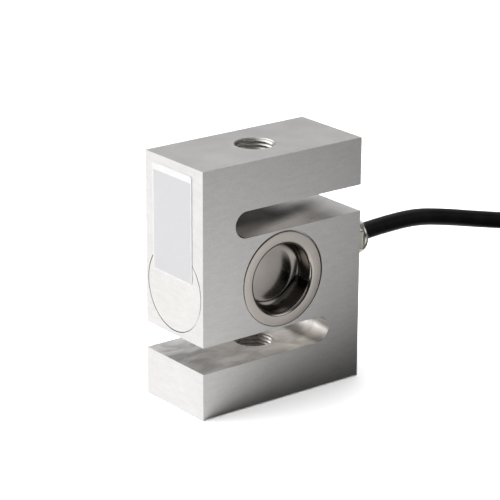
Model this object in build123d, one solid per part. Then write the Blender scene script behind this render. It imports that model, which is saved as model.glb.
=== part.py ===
from build123d import *
import os
from math import cos, pi, radians, sin, sqrt, tan

# S-shaped weighing load cell with a fixed signal cable, all sizes in millimetres.
# The origin is on the lower thread's axis at the bottom face. +Z is the load axis,
# +X points to the cable side and the front cup opens towards -Y.

# Block, with one sawn slot above the gauge web and one below it
BLOCK_WIDTH = 50.0
BLOCK_DEPTH = 24.0
ARM_HEIGHT = 12.5
SLOT_GAP = 7.0
WEB_HEIGHT = 26.0
SLOT_END_WALL = 10.0
EDGE_BREAK = 0.25

# Load threads M10 x 1, cut through both arms on the load axis
THREAD_RADIUS = 5.0
THREAD_LEAD_IN = 0.25

# Gauge bore through the web, with a seat for a sealing cup at each end
GAUGE_WALL = 2.4
CUP_SEAT_WALL = 0.4
CUP_GAP = 0.25
CUP_RECESS = 0.35
CUP_SHEET = 0.6
CUP_WALL_GAP = 0.9
CUP_DEPTH = 5.7
CUP_LIP_RADIUS = 1.2
CUP_FLOOR_RADIUS = 2.2
CUP_RIM_RADIUS = 0.2

# Strain gauges, solder tabs and jumper wires on the wall of the gauge bore
GAUGE_LENGTH = 6.0
GAUGE_ARC = 30.0
GAUGE_THICKNESS = 0.2
GAUGE_LEAN = 24.0
TAB_LENGTH = 7.0
TAB_ARC = 16.0
TAB_THICKNESS = 0.5
TAB_LEAN = 57.0
JUMPER_RADIUS = 0.15
JUMPER_SPACING = 2.4
BRIDGE_LEAD_SPACING = 0.4
BRIDGE_LEAD_RISE = 1.25
BRIDGE_LEAD_SETBACK = 1.0
BRIDGE_LEAD_BEND = 0.5

# Side pocket behind the round cover, with the trimming board on a step
COVER_SEAT_WALL = 0.8
COVER_SILL = 1.0
COVER_GAP = 0.12
COVER_THICKNESS = 1.0
COVER_EDGE_BREAK = 0.15
BOARD_SEAT_LEDGE = 1.6
BOARD_SEAT_DEPTH = 4.6
BOARD_GAP = 0.2
BOARD_THICKNESS = 1.0
POCKET_STEP = 2.0
POCKET_DEPTH = 8.0
WIRE_HOLE_RADIUS = 1.6
CHIP_LENGTH = 3.2
CHIP_WIDTH = 1.6
CHIP_HEIGHT = 0.6
CHIP_SPACING = 2.6
CHIP_COUNT = 4
SOLDER_RADIUS = 0.7
SOLDER_COUNT = 8
SOLDER_EDGE = 1.6

# Blank foil label on the side face, over the upper part of the cover
LABEL_WIDTH = 16.3
LABEL_HEIGHT = 28.0
LABEL_THICKNESS = 0.12
LABEL_TOP_MARGIN = 2.3
LABEL_SHIFT = 0.65
LABEL_CORNER = 0.8

# Signal cable
CABLE_DIAMETER = 4.6

# Cable gland in the side face
GLAND_RISE = 1.3
GLAND_REACH = 9.4
GLAND_THREAD_RADIUS = 4.0
GLAND_THREAD_GAP = 0.05
GLAND_THREAD_DEPTH = 6.5
GLAND_THREAD_RELIEF = 0.3
GLAND_BORE_GAP = 0.2
GLAND_HEX = 8.3
GLAND_HEX_CHAMFER = 0.35
GLAND_COLLAR_LENGTH = 2.8
GLAND_NECK_RADIUS = 3.5
GLAND_NECK_LENGTH = 4.0
GLAND_NUT_GAP = 0.2
GLAND_NUT_LIP = 1.8
GLAND_NUT_ROUND = 0.7
WASHER_THICKNESS = 0.4
WASHER_RADIUS = 4.6
SEAL_WALL = 0.65
SEAL_LENGTH = 3.2
CABLE_INNER_REACH = 3.0
CABLE_INNER_LENGTH = 14.0

# Insulated cores between the cable's inner end and the trimming board
CORE_RADIUS = 0.45
CORE_SPREAD = 0.6
CORE_STRAIGHT = 6.0
CORE_BEND = 8.0
CORE_COLOURS = ("red", "black", "green", "white")

# Free cable route, from inside the gland's mouth to the coil
CABLE_ROUTE = [
    (28.0, 0.0, 33.8),
    (41.0, 0.0, 33.8),
    (54.4, -0.3, 35.2),
    (76.4, -1.6, 30.2),
    (98.1, -2.9, 24.8),
]
ARC_SHARE = 0.45

# Coil of the put-away cable, clockwise from its top row down to the floor
COIL_RADIUS = 26.1
COIL_COLUMNS = 4
COIL_ROWS = 5
COIL_CENTRE_X = 118.1
COIL_EDGE_RADIUS = 2.0
COIL_LANDING = 24.0
TIE_THICKNESS = 0.8
TIE_WIDTH = 4.0
TIE_GAP = 0.05
TIE_ANGLES = (20.0, 200.0)

# Stripped end of the cable, beside the coil
TAIL_LENGTH = 19.0
TAIL_INSET = 0.2
TAIL_DROP = 0.25
SLEEVE_LENGTH = 12.0
SLEEVE_WALL = 0.45
LEAD_RADIUS = 0.65
LEAD_CIRCLE = 1.45
LEAD_STRAIGHT = 5.0
LEAD_SPLAY = 12.0
LEAD_REST = 7.0
LEAD_FAN = 2.4
LEAD_BEND = 9.0
LEAD_PLACES = (-2, -1, 1, 2, 0)
TINNED_RADIUS = 0.4
TINNED_LENGTH = 6.0

# Places worked out from the sizes above
BLOCK_HEIGHT = 2 * (ARM_HEIGHT + SLOT_GAP) + WEB_HEIGHT
WEB_MIDDLE = BLOCK_HEIGHT / 2
SIDE_X = BLOCK_WIDTH / 2
FACE_Y = BLOCK_DEPTH / 2
BORE_RADIUS = WEB_HEIGHT / 2 - GAUGE_WALL
BORE_AXIS = Axis((0, 0, WEB_MIDDLE), (0, 1, 0))
CUP_SEAT_RADIUS = WEB_HEIGHT / 2 - CUP_SEAT_WALL
CUP_SEAT_DEPTH = CUP_RECESS + CUP_SHEET
CUP_FLANGE_RADIUS = CUP_SEAT_RADIUS - CUP_GAP
CUP_RADIUS = BORE_RADIUS - CUP_WALL_GAP - CUP_SHEET
COVER_SEAT_RADIUS = FACE_Y - COVER_SEAT_WALL
POCKET_Z = ARM_HEIGHT + SLOT_GAP + COVER_SILL + COVER_SEAT_RADIUS
POCKET_MOUTH = (-SIDE_X, 0, POCKET_Z)
BOARD_SEAT_RADIUS = COVER_SEAT_RADIUS - BOARD_SEAT_LEDGE
BOARD_RADIUS = BOARD_SEAT_RADIUS - BOARD_GAP
BOARD_BACK_X = -SIDE_X + BOARD_SEAT_DEPTH
BOARD_FRONT_X = BOARD_BACK_X - BOARD_THICKNESS
CABLE_RADIUS = CABLE_DIAMETER / 2
GLAND_Z = WEB_MIDDLE + GLAND_RISE
GLAND_FOOT = (SIDE_X, 0, GLAND_Z)
GLAND_BORE_RADIUS = CABLE_RADIUS + GLAND_BORE_GAP
GLAND_SHANK_RADIUS = GLAND_THREAD_RADIUS - GLAND_THREAD_GAP
GLAND_CORNER_RADIUS = GLAND_HEX / 2 / cos(radians(30))
COLLAR_END = WASHER_THICKNESS + GLAND_COLLAR_LENGTH
NECK_END = COLLAR_END + GLAND_NECK_LENGTH
NUT_START = COLLAR_END + GLAND_NUT_GAP
SEAL_END = GLAND_REACH - GLAND_NUT_LIP
SEAL_START = SEAL_END - SEAL_LENGTH
SEAL_RADIUS = CABLE_RADIUS + SEAL_WALL
INNER_END_X = SIDE_X + CABLE_INNER_REACH - CABLE_INNER_LENGTH
COIL_WIDTH = COIL_COLUMNS * CABLE_DIAMETER
COIL_HEIGHT = CABLE_DIAMETER * (1 + (COIL_ROWS - 1) * sqrt(3) / 2)
COIL_BOTTOM = TIE_THICKNESS + TIE_GAP
COIL_OUTSIDE = COIL_RADIUS + COIL_WIDTH / 2
COIL_CENTRE = (COIL_CENTRE_X, FACE_Y - COIL_OUTSIDE, COIL_BOTTOM + COIL_HEIGHT / 2)
TAIL_Y = COIL_CENTRE[1] - COIL_OUTSIDE + CABLE_RADIUS + TAIL_INSET
TAIL_Z = COIL_BOTTOM + CABLE_RADIUS - TAIL_DROP
TAIL_X = COIL_CENTRE_X - TAIL_LENGTH
SLEEVE_RADIUS = CABLE_RADIUS + SLEEVE_WALL


def axis_plane(origin, direction):
    """Plane whose x runs along a level axis and whose y points up."""
    along = Vector(*direction)
    return Plane(origin=origin, x_dir=along, z_dir=along.cross(Vector(0, 0, 1)))


def turned(profile, origin, direction):
    """Piece turned about an axis, from a profile of distance along it and radius."""
    return revolve(axis_plane(origin, direction) * profile, Axis(origin, direction))


def rod(origin, direction, length, radius):
    """Plain round rod from a point along an axis."""
    return extrude(Plane(origin=origin, z_dir=direction) * Circle(radius), length)


def ring(origin, direction, start, end, inner, outer):
    """Plain ring round an axis."""
    profile = Pos((start + end) / 2, (inner + outer) / 2) * Rectangle(end - start, outer - inner)
    return turned(profile, origin, direction)


def wire_along(points, radius, bends):
    """Round wire along straight runs joined by tangent arcs."""
    path = FilletPolyline(*points, radius=bends)
    start = Plane(origin=path @ 0, z_dir=path % 0)
    return sweep(start * Circle(radius), path=path)


def bend_radii(points):
    """Radius of each arc of a route, as large as its two runs allow."""
    runs = [Vector(*end) - Vector(*start) for start, end in zip(points, points[1:])]
    half_turns = [radians(first.get_angle(second)) / 2 for first, second in zip(runs, runs[1:])]
    shorter = [min(first.length, second.length) for first, second in zip(runs, runs[1:])]
    return [ARC_SHARE * run / tan(half) for run, half in zip(shorter, half_turns)]


def slot_space(middle_z, open_side):
    """Sawn slot with a full-radius end, open on one side of the block."""
    end_x = open_side * (SLOT_END_WALL + SLOT_GAP / 2 - SIDE_X)
    length = SIDE_X - open_side * end_x
    run = Pos(end_x + open_side * length / 2, middle_z) * Rectangle(length, SLOT_GAP)
    return run + Pos(end_x, middle_z) * Circle(SLOT_GAP / 2)


def gauge_bore_space():
    """Bore through the web, with a flat seat at each end."""
    space = rod((0, -FACE_Y, WEB_MIDDLE), (0, 1, 0), BLOCK_DEPTH, BORE_RADIUS)
    for side in (-1, 1):
        mouth = (0, side * FACE_Y, WEB_MIDDLE)
        space += rod(mouth, (0, -side, 0), CUP_SEAT_DEPTH, CUP_SEAT_RADIUS)
    return space


def pocket_space():
    """Stepped pocket in the side face, with a wire hole to the gauge bore."""
    steps = [
        (COVER_THICKNESS, COVER_SEAT_RADIUS),
        (BOARD_SEAT_DEPTH, BOARD_SEAT_RADIUS),
        (POCKET_DEPTH, BOARD_SEAT_RADIUS - POCKET_STEP),
        (SIDE_X, WIRE_HOLE_RADIUS),
    ]
    return Part() + [rod(POCKET_MOUTH, (1, 0, 0), depth, radius) for depth, radius in steps]


def gland_space():
    """Threaded hole for the gland, with a cable passage to the gauge bore."""
    thread = rod(GLAND_FOOT, (-1, 0, 0), GLAND_THREAD_DEPTH, GLAND_THREAD_RADIUS)
    return thread + rod(GLAND_FOOT, (-1, 0, 0), SIDE_X, GLAND_BORE_RADIUS)


def beam_body():
    """One-piece block with its slots, load threads, gauge bore and side holes."""
    outline = Pos(0, WEB_MIDDLE) * Rectangle(BLOCK_WIDTH, BLOCK_HEIGHT)
    outline -= slot_space(ARM_HEIGHT + SLOT_GAP / 2, -1)
    outline -= slot_space(BLOCK_HEIGHT - ARM_HEIGHT - SLOT_GAP / 2, 1)
    block = extrude(Plane.XZ * outline, FACE_Y, both=True)
    rims = block.faces().filter_by(Axis.Y).edges()
    across = block.edges().filter_by(Axis.Y)
    corners = [edge for edge in across if abs(edge.center().X) > SIDE_X - EDGE_BREAK]
    block = chamfer(rims + corners, EDGE_BREAK)

    for start in (0, BLOCK_HEIGHT - ARM_HEIGHT):
        block -= rod((0, 0, start), (0, 0, 1), ARM_HEIGHT, THREAD_RADIUS)
    mouths = block.edges().filter_by(GeomType.CIRCLE).filter_by(Plane.XY)
    block = chamfer(mouths, THREAD_LEAD_IN)
    return block - gauge_bore_space() - pocket_space() - gland_space()


def seal_cup(side):
    """Deep-drawn sealing cup, its mouth in the face on one side of the block."""
    floor = CUP_RECESS + CUP_DEPTH
    back = CUP_RECESS + CUP_SHEET
    corners = [
        (CUP_RECESS, CUP_RADIUS),
        (CUP_RECESS, CUP_FLANGE_RADIUS),
        (back, CUP_FLANGE_RADIUS),
        (back, CUP_RADIUS + CUP_SHEET),
        (floor + CUP_SHEET, CUP_RADIUS + CUP_SHEET),
        (floor + CUP_SHEET, 0),
        (floor, 0),
        (floor, CUP_RADIUS),
    ]
    rounds = {
        0: CUP_LIP_RADIUS,
        1: CUP_RIM_RADIUS,
        3: CUP_LIP_RADIUS - CUP_SHEET,
        4: CUP_FLOOR_RADIUS + CUP_SHEET,
        7: CUP_FLOOR_RADIUS,
    }
    profile = make_face(Polyline(*corners, close=True))
    for corner, radius in rounds.items():
        profile = fillet(profile.vertices().sort_by_distance(corners[corner])[0], radius)
    return turned(profile, (0, side * FACE_Y, WEB_MIDDLE), (0, -side, 0))


def bore_section(angle):
    """Plane through the gauge bore's axis, its y pointing out at an angle above +X."""
    lean = radians(angle)
    return Plane(origin=BORE_AXIS.position, x_dir=(0, 1, 0), z_dir=(sin(lean), 0, -cos(lean)))


def bore_plate(length, arc, thickness, angle):
    """Thin plate bonded to the wall of the gauge bore."""
    section = Pos(0, BORE_RADIUS - thickness / 2) * Rectangle(length, thickness)
    return revolve(bore_section(angle + arc / 2) * section, BORE_AXIS, arc)


def bore_jumper(y, start, end):
    """Thin wire along the wall of the gauge bore, between two angles."""
    section = Pos(y, BORE_RADIUS - JUMPER_RADIUS) * Circle(JUMPER_RADIUS)
    return revolve(bore_section(end) * section, BORE_AXIS, end - start)


def strain_gauges():
    """Foil gauges on the four thin places of the web, above and below the bore."""
    places = [90 - GAUGE_LEAN, 90 + GAUGE_LEAN, 270 - GAUGE_LEAN, 270 + GAUGE_LEAN]
    return [bore_plate(GAUGE_LENGTH, GAUGE_ARC, GAUGE_THICKNESS, angle) for angle in places]


def solder_tabs():
    """Terminal tabs beside the gauges, on the pocket side of the bore."""
    places = [90 + TAB_LEAN, 270 - TAB_LEAN]
    return [bore_plate(TAB_LENGTH, TAB_ARC, TAB_THICKNESS, angle) for angle in places]


def gauge_jumpers():
    """Pairs of wires from gauge to gauge and on to the solder tab."""
    inner = GAUGE_LEAN - GAUGE_ARC / 2
    outer = GAUGE_LEAN + GAUGE_ARC / 2
    spans = [(90 - inner, 90 + inner), (90 + outer, 90 + TAB_LEAN - TAB_ARC / 2)]
    spans += [(360 - end, 360 - start) for start, end in spans]
    sides = (-JUMPER_SPACING / 2, JUMPER_SPACING / 2)
    return Compound([bore_jumper(y, start, end) for start, end in spans for y in sides])


def bridge_leads():
    """Pairs of thin wires from the solder tabs, through the wire hole, to the board."""
    lean = radians(90 + TAB_LEAN)
    reach = BORE_RADIUS - TAB_THICKNESS - JUMPER_RADIUS
    wires = []
    for side in (-1, 1):
        z = POCKET_Z + side * BRIDGE_LEAD_RISE
        for y in (-BRIDGE_LEAD_SPACING / 2, BRIDGE_LEAD_SPACING / 2):
            points = [
                (reach * cos(lean), y, WEB_MIDDLE + side * reach * sin(lean)),
                (BRIDGE_LEAD_SETBACK - BORE_RADIUS, y, z),
                (BOARD_BACK_X, y, z),
            ]
            wires.append(wire_along(points, JUMPER_RADIUS, BRIDGE_LEAD_BEND))
    return Compound(wires)


def side_cover():
    """Round cover pressed flush into the side pocket."""
    cover = rod(POCKET_MOUTH, (1, 0, 0), COVER_THICKNESS, COVER_SEAT_RADIUS - COVER_GAP)
    return chamfer(cover.faces().sort_by(Axis.X)[0].edges(), COVER_EDGE_BREAK)


def blank_label():
    """Plain foil label with rounded corners, on the side face and the cover."""
    middle_z = BLOCK_HEIGHT - LABEL_TOP_MARGIN - LABEL_HEIGHT / 2
    plane = Plane(origin=(-SIDE_X, LABEL_SHIFT, middle_z), x_dir=(0, -1, 0), z_dir=(-1, 0, 0))
    return extrude(plane * RectangleRounded(LABEL_WIDTH, LABEL_HEIGHT, LABEL_CORNER), LABEL_THICKNESS)


def trim_board():
    """Round trimming board on the pocket's step."""
    return rod((BOARD_FRONT_X, 0, POCKET_Z), (1, 0, 0), BOARD_THICKNESS, BOARD_RADIUS)


def trim_resistors():
    """Row of chip resistors on the board's outer side."""
    middle_x = BOARD_FRONT_X - CHIP_HEIGHT / 2
    heights = [POCKET_Z + CHIP_SPACING * (index - (CHIP_COUNT - 1) / 2) for index in range(CHIP_COUNT)]
    return Compound([Pos(middle_x, 0, z) * Box(CHIP_HEIGHT, CHIP_LENGTH, CHIP_WIDTH) for z in heights])


def solder_joints():
    """Domes of solder round the board's edge."""
    reach = BOARD_RADIUS - SOLDER_EDGE
    outer_half = Pos(-SOLDER_RADIUS / 2, 0, 0) * Box(SOLDER_RADIUS, 2 * SOLDER_RADIUS, 2 * SOLDER_RADIUS)
    dome = Sphere(SOLDER_RADIUS) & outer_half
    turns = [2 * pi * index / SOLDER_COUNT for index in range(SOLDER_COUNT)]
    places = [(BOARD_FRONT_X, reach * cos(turn), POCKET_Z + reach * sin(turn)) for turn in turns]
    return Compound([Pos(*place) * dome for place in places])


def inner_core(index):
    """Insulated core from the cable's inner end, across the gauge bore, to the board."""
    y = CORE_SPREAD * (1 if index % 2 else -1)
    rise = CORE_SPREAD * (1 if index < 2 else -1)
    points = [
        (INNER_END_X, y, GLAND_Z + rise),
        (INNER_END_X - CORE_STRAIGHT, y, GLAND_Z + rise),
        (-INNER_END_X + CORE_STRAIGHT, y, POCKET_Z + rise),
        (BOARD_BACK_X, y, POCKET_Z + rise),
    ]
    return wire_along(points, CORE_RADIUS, CORE_BEND)


def cable_inner_end():
    """Held stretch of the cable, through the gland and into the passage."""
    return rod((INNER_END_X, 0, GLAND_Z), (1, 0, 0), CABLE_INNER_LENGTH, CABLE_RADIUS)


def hexagon(start, end, round_end):
    """Spanner hexagon with its corners turned off, one corner to the front."""
    section = RegularPolygon(GLAND_CORNER_RADIUS, 6)
    plane = Plane(origin=(SIDE_X + start, 0, GLAND_Z), x_dir=(0, 1, 0), z_dir=(1, 0, 0))
    middle = Pos((start + end) / 2, GLAND_CORNER_RADIUS / 2)
    profile = middle * Rectangle(end - start, GLAND_CORNER_RADIUS)
    tip = (end, GLAND_CORNER_RADIUS)
    profile = fillet(profile.vertices().sort_by_distance(tip)[0], round_end)
    heel = (start, GLAND_CORNER_RADIUS)
    profile = chamfer(profile.vertices().sort_by_distance(heel)[0], GLAND_HEX_CHAMFER)
    return extrude(plane * section, end - start) & turned(profile, GLAND_FOOT, (1, 0, 0))


def gland_washer():
    """Sealing washer between the gland's collar and the block."""
    return ring(GLAND_FOOT, (1, 0, 0), 0, WASHER_THICKNESS, GLAND_SHANK_RADIUS, WASHER_RADIUS)


def gland_body():
    """Gland body: threaded shank, hexagon collar and a neck that holds the seal."""
    shank_start = GLAND_THREAD_RELIEF - GLAND_THREAD_DEPTH
    body = ring(GLAND_FOOT, (1, 0, 0), shank_start, COLLAR_END, GLAND_BORE_RADIUS, GLAND_SHANK_RADIUS)
    body += ring(GLAND_FOOT, (1, 0, 0), COLLAR_END, NECK_END, GLAND_BORE_RADIUS, GLAND_NECK_RADIUS)
    body += hexagon(WASHER_THICKNESS, COLLAR_END, GLAND_HEX_CHAMFER)
    mouth = (SIDE_X + NECK_END, 0, GLAND_Z)
    body -= rod(mouth, (-1, 0, 0), NECK_END - SEAL_START, SEAL_RADIUS)
    return body - rod(mouth, (-1, 0, 0), NECK_END - shank_start, GLAND_BORE_RADIUS)


def gland_seal():
    """Rubber sleeve that grips the cable."""
    return ring(GLAND_FOOT, (1, 0, 0), SEAL_START, SEAL_END, CABLE_RADIUS, SEAL_RADIUS)


def gland_nut():
    """Hexagon nut with a rounded end that presses the seal onto the cable."""
    tip = (SIDE_X + GLAND_REACH, 0, GLAND_Z)
    nut = hexagon(NUT_START, GLAND_REACH, GLAND_NUT_ROUND)
    nut -= rod((SIDE_X, 0, GLAND_Z), (1, 0, 0), SEAL_END, GLAND_NECK_RADIUS + GLAND_THREAD_GAP)
    return nut - rod(tip, (-1, 0, 0), GLAND_REACH, GLAND_BORE_RADIUS)


def cable_coil():
    """Outer shape of the coil, with the cable's landing on top and its tail below."""
    section = Pos(COIL_RADIUS, 0) * RectangleRounded(COIL_WIDTH, COIL_HEIGHT, COIL_EDGE_RADIUS)
    plane = Plane(origin=COIL_CENTRE, x_dir=(1, 0, 0), z_dir=(0, -1, 0))
    coil = revolve(plane * section, Axis(COIL_CENTRE, (0, 0, 1)))
    before, end = (Vector(*point) for point in CABLE_ROUTE[-2:])
    coil += rod(end, end - before, COIL_LANDING, CABLE_RADIUS)
    return coil + rod((COIL_CENTRE_X, TAIL_Y, TAIL_Z), (-1, 0, 0), TAIL_LENGTH, CABLE_RADIUS)


def cable_tie(angle):
    """Band round the coil's bundle of turns."""
    grown = 2 * (TIE_GAP + TIE_THICKNESS)
    outer = RectangleRounded(COIL_WIDTH + grown, COIL_HEIGHT + grown, COIL_EDGE_RADIUS + grown / 2)
    slack = 2 * TIE_GAP
    inner = RectangleRounded(COIL_WIDTH + slack, COIL_HEIGHT + slack, COIL_EDGE_RADIUS + TIE_GAP)
    arc = TIE_WIDTH / COIL_RADIUS
    start = radians(angle) - arc / 2
    plane = Plane(origin=COIL_CENTRE, x_dir=(cos(start), sin(start), 0), z_dir=(sin(start), -cos(start), 0))
    section = Pos(COIL_RADIUS, 0) * (outer - inner)
    return revolve(plane * section, Axis(COIL_CENTRE, (0, 0, 1)), arc * 180 / pi)


def jacket_sleeve():
    """Shrink sleeve over the end of the cable's jacket."""
    return rod((TAIL_X, TAIL_Y, SLEEVE_RADIUS), (-1, 0, 0), SLEEVE_LENGTH, SLEEVE_RADIUS)


def lead_points(index):
    """Route of a stripped lead, out of the sleeve and fanned out on the floor."""
    turn = 1.1 * pi - 2 * pi * index / len(LEAD_PLACES)
    y = TAIL_Y + LEAD_CIRCLE * cos(turn)
    z = SLEEVE_RADIUS + LEAD_CIRCLE * sin(turn)
    far_y = TAIL_Y + LEAD_PLACES[index] * LEAD_FAN
    start_x = TAIL_X - SLEEVE_LENGTH
    bend_x = start_x - LEAD_STRAIGHT
    rest_x = bend_x - LEAD_SPLAY
    return [
        (start_x, y, z),
        (bend_x, y, z),
        (rest_x, far_y, LEAD_RADIUS),
        (rest_x - LEAD_REST, far_y, LEAD_RADIUS),
    ]


def write(name, shape):
    """One STEP file for one sub-part."""
    shape.label = name
    export_step(shape, f"parts/{name}.step")


os.makedirs("parts", exist_ok=True)
write("beam_body", beam_body())
write("front_seal_cup", seal_cup(-1))
write("rear_seal_cup", seal_cup(1))
write("side_cover", side_cover())
write("blank_label", blank_label())
for number, gauge in enumerate(strain_gauges(), 1):
    write(f"strain_gauge_{number}", gauge)
for number, tab in enumerate(solder_tabs(), 1):
    write(f"solder_tab_{number}", tab)
write("gauge_jumpers", gauge_jumpers())
write("bridge_leads", bridge_leads())
write("trim_board", trim_board())
write("trim_resistors", trim_resistors())
write("solder_joints", solder_joints())
for number, colour in enumerate(CORE_COLOURS):
    write(f"inner_core_{colour}", inner_core(number))
write("cable_inner_end", cable_inner_end())
write("gland_washer", gland_washer())
write("gland_body", gland_body())
write("gland_seal", gland_seal())
write("gland_nut", gland_nut())

route_radii = bend_radii(CABLE_ROUTE)
signal_cable = wire_along(CABLE_ROUTE, CABLE_RADIUS, route_radii)
route_length = FilletPolyline(*CABLE_ROUTE, radius=route_radii).length
print("cable bend radii", [round(radius, 1) for radius in route_radii])
print("cable volume", round(signal_cable.volume, 2), "of", round(pi * CABLE_RADIUS**2 * route_length, 2))
write("signal_cable", signal_cable)
write("cable_coil", cable_coil())
for number, angle in enumerate(TIE_ANGLES, 1):
    write(f"cable_tie_{number}", cable_tie(angle))
write("jacket_sleeve", jacket_sleeve())
for number, colour in enumerate(CORE_COLOURS):
    points = lead_points(number)
    write(f"lead_{colour}", wire_along(points, LEAD_RADIUS, LEAD_BEND))
    write(f"tinned_end_{colour}", rod(points[-1], (-1, 0, 0), TINNED_LENGTH, TINNED_RADIUS))
write("shield_drain", wire_along(lead_points(len(CORE_COLOURS)), LEAD_RADIUS, LEAD_BEND))
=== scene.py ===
from math import cos, pi, radians, sin, sqrt

import bmesh
import bpy
from mathutils import Matrix, Vector


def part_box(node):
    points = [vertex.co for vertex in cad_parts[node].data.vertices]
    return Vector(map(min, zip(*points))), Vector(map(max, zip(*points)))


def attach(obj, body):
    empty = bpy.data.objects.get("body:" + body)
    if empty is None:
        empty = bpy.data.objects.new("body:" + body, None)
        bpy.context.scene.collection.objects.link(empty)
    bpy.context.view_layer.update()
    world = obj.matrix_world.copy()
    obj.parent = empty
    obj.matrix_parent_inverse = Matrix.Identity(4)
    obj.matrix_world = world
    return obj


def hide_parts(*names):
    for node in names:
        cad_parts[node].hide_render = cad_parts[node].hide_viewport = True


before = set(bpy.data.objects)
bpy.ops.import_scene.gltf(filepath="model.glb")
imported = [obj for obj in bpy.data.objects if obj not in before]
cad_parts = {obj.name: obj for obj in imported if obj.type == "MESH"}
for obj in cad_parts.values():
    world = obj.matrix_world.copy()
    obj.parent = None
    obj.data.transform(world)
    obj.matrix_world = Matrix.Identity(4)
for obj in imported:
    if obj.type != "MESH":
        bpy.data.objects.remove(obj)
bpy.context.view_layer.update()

# Millimetre, in the scene's metres, and the directions of the frame
MM = 0.001
RIGHT = Vector((1, 0, 0))
BACK = Vector((0, 1, 0))
UP = Vector((0, 0, 1))

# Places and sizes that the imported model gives
block_low, block_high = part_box("beam_body")
cup_low, cup_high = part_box("front_seal_cup")
cover_low, cover_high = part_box("side_cover")
label_low, label_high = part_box("blank_label")
nut_low, nut_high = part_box("gland_nut")
gland_low, gland_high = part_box("gland_body")
held_low, held_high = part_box("cable_inner_end")
sleeve_low, sleeve_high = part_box("jacket_sleeve")
WEB_MIDDLE = (cup_low.z + cup_high.z) / 2
COVER_MIDDLE = (cover_low.z + cover_high.z) / 2
GLAND_MIDDLE = (held_low.z + held_high.z) / 2
GLAND_CENTRE = UP * GLAND_MIDDLE
CABLE_RADIUS = (held_high.z - held_low.z) / 2
CABLE = 2 * CABLE_RADIUS

# Block: arms, slots and broken edges
ARM = 12.5 * MM
SLOT_GAP = 7.0 * MM
SLOT_END_WALL = 10.0 * MM
SLOT_RISE = 16.5 * MM
EDGE_BREAK = 0.25 * MM

# Painted dark reflections in the slots: line of the upper one's band and place of the lower one's streak
DARK_BAND_SLOPE = 0.31
DARK_BAND_SHIFT = 5.2 * MM
DARK_STREAK_PLACE = 12.6 * MM

# Load threads: nominal radius, lead-in, pitch and the ridges' height over the wall
THREAD_RADIUS = 5.0 * MM
THREAD_LEAD_IN = 0.25 * MM
THREAD_PITCH = 1.0 * MM
RIDGE_HEIGHT = 0.36 * MM
RIDGE_ROOT = 0.03 * MM
RIDGE_TURNS = 11

# Share of the pitch that a ridge's crest and root take
CREST_SHARE = 0.12
ROOT_SHARE = 0.96

# Gauge bore and the cups' seats
BORE_RADIUS = 10.6 * MM
CUP_SEAT_RADIUS = 12.6 * MM
CUP_SEAT_DEPTH = 0.95 * MM

# Holes in the side faces: seats of the cover and the board, pocket, and the cable's way in
COVER_SEAT_RADIUS = 11.2 * MM
COVER_SEAT_DEPTH = 1.0 * MM
BOARD_SEAT_RADIUS = 9.6 * MM
BOARD_SEAT_DEPTH = 4.6 * MM
POCKET_RADIUS = 7.6 * MM
POCKET_DEPTH = 8.0 * MM
WIRE_HOLE_RADIUS = 1.6 * MM
GLAND_HOLE_RADIUS = 4.0 * MM
GLAND_HOLE_DEPTH = 6.5 * MM
CABLE_HOLE_RADIUS = 2.5 * MM

# Seal cups: hollow, sheet, flange, how far they lie under the face and how low in their seats
CUP_RADIUS = 9.1 * MM
CUP_FLANGE_RADIUS = 12.38 * MM
CUP_SHEET = 0.6 * MM
CUP_DEPTH = 6.0 * MM
CUP_DOME = 0.3 * MM
CUP_FLOOR_ROUND = 2.2 * MM
CUP_LIP_ROUND = 0.9 * MM
CUP_RIM_ROUND = 0.2 * MM
CUP_RECESS = 0.05 * MM
CUP_DROP = 0.2 * MM

# Cable gland: spanner size, breaks at the hexagons' ends, shank, neck and clearances
HEX_FLATS = 8.3 * MM
HEX_HEEL = 0.35 * MM
NUT_ROUND = 0.7 * MM
NUT_LIP = 1.8 * MM
NUT_GAP = 0.2 * MM
SHANK_RADIUS = 3.95 * MM
SHANK_END = 26.0 * MM
NECK_RADIUS = 3.5 * MM
NECK_GAP = 0.05 * MM
WASHER_THICKNESS = 0.4 * MM
CABLE_GAP = 0.2 * MM

# Nut's round rim: distances from the nut's end and from its corners' reach, in millimetres
NUT_RIM = ((-1.5, -0.5), (-1.35, -0.15), (-1.1, 0), (-0.5, 0), (-0.22, -0.12), (-0.05, -0.4), (0, -0.8))

# White border round the label's grey panel, and the wider strip over it
LABEL_BORDER = 0.35 * MM
LABEL_STRIP = 1.8 * MM

# Cable: the stretch from the gland to the coil, and the tail into the sleeve, in millimetres
CABLE_START = [
    (28.0, 0.0, 33.8),
    (36.0, 0.0, 34.3),
    (44.0, -0.1, 34.85),
    (54.4, -0.3, 34.95),
    (64.0, -0.9, 33.2),
    (76.4, -1.6, 30.2),
    (98.1, -3.4, 25.4),
    (109.5, -4.2, 22.2),
    (118.1, -4.1, 19.6),
]
CABLE_TAIL = [(112.0, -56.3, 3.0), (104.0, -56.3, 2.8), (98.0, -56.3, 2.75), (93.2, -56.3, 2.75)]

# Coil of the put-away cable: its turns, the steps between their points and where they cross over
COIL_RADIUS = 26.1 * MM
COIL_CENTRE = Vector((118.1, -23.3, 0)) * MM
COIL_ROWS = 5
COIL_FLOOR = 3.1 * MM
COIL_DEGREES = 6300
COIL_STEP = 22.5
CROSSOVER = 210
CROSSOVER_LENGTH = 54
CROSSOVER_HUMP = 0.13

# Cable ties: places round the coil, half the band's reach, its width, thickness and corners, and
# the sizes of the locking head and the trimmed tail
TIE_ANGLES = {"cable_tie_1": 20, "cable_tie_2": 200}
TIE_REACH = 10.05 * MM
TIE_WIDTH = 4.0 * MM
TIE_THICKNESS = 0.8 * MM
TIE_CORNER = 2.85 * MM
TIE_HEAD = Vector((4.6, 5.6, 3.2)) * MM
TIE_TAIL = Vector((7.2, 3.8, 1.0)) * MM

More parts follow.
